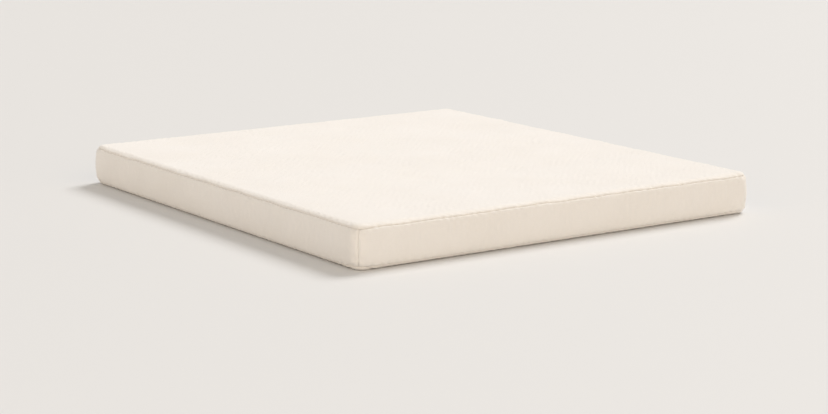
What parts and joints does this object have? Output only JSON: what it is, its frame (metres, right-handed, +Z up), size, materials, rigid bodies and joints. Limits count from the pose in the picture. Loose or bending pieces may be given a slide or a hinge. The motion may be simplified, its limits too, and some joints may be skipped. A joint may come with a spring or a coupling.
{
  "type": "futon mattress",
  "caption": "Low double futon mattress: smooth cotton cover with softly rounded edges and corners, a zip across the head end, and a tied stack of wool, cotton, coir and latex inside.",
  "frame": {"origin": "centre of the underside, on the surface the mattress lies on", "axes": "+Z up, +Y along the length to the head end where the zip is, +X to the right of someone looking from the foot to the head"},
  "size_m": [1.8, 2.0051, 0.16],
  "materials": {
    "cover_twill": "matte natural white cotton",
    "calico": "matte unbleached calico",
    "wool": "matte carded wool",
    "cotton": "matte cotton batting",
    "coir": "matte rubberised coconut fibre",
    "latex": "matte foamed natural latex",
    "tie_yarn": "matte cotton yarn and felt",
    "zip_tape": "matte woven tape",
    "zip_coil": "satin nylon",
    "zip_metal": "satin zinc",
    "label": "satin ribbon"
  },
  "bodies": {
    "mattress": {"cover_top_panel": "cover_twill", "cover_bottom_panel": "cover_twill", "cover_border_foot": "cover_twill", "cover_border_left": "cover_twill", "cover_border_right": "cover_twill", "cover_border_head_upper": "cover_twill", "cover_border_head_lower": "cover_twill", "zip_tape_upper": "zip_tape", "zip_tape_lower": "zip_tape", "zip_coil_upper": "zip_coil", "zip_coil_lower": "zip_coil", "zip_top_stop_upper": "zip_metal", "zip_top_stop_lower": "zip_metal", "zip_bottom_stop": "zip_metal", "care_label": "label", "inner_case_top": "calico", "inner_case_border": "calico", "inner_case_bottom": "calico", "wool_layer_bottom": "wool", "cotton_layer_1": "cotton", "cotton_layer_2": "cotton", "coir_sheet_bottom": "coir", "latex_core": "latex", "coir_sheet_top": "coir", "cotton_layer_3": "cotton", "cotton_layer_4": "cotton", "wool_layer_top": "wool", "tufting_tie_1_1": "tie_yarn", "tufting_tie_1_2": "tie_yarn", "tufting_tie_1_3": "tie_yarn", "tufting_tie_1_4": "tie_yarn", "tufting_tie_2_1": "tie_yarn", "tufting_tie_2_2": "tie_yarn", "tufting_tie_2_3": "tie_yarn", "tufting_tie_2_4": "tie_yarn", "tufting_tie_3_1": "tie_yarn", "tufting_tie_3_2": "tie_yarn", "tufting_tie_3_3": "tie_yarn", "tufting_tie_3_4": "tie_yarn", "tufting_tie_4_1": "tie_yarn", "tufting_tie_4_2": "tie_yarn", "tufting_tie_4_3": "tie_yarn", "tufting_tie_4_4": "tie_yarn", "tufting_tie_5_1": "tie_yarn", "tufting_tie_5_2": "tie_yarn", "tufting_tie_5_3": "tie_yarn", "tufting_tie_5_4": "tie_yarn"},
    "zip_slider": {"zip_slider": "zip_metal"},
    "zip_pull": {"zip_pull_tab": "zip_metal"}
  },
  "joints": [
    {"name": "zip_slide", "type": "slide", "parent": "mattress", "child": "zip_slider", "axis": [-1, 0, 0], "range_m": [0, 1.57]},
    {"name": "pull_tab_swing", "type": "hinge", "parent": "zip_slider", "child": "zip_pull", "pos_m": [0.7857, 1.00275, 0.08], "axis": [0, 0, -1], "range_deg": [0, 165]}
  ]
}
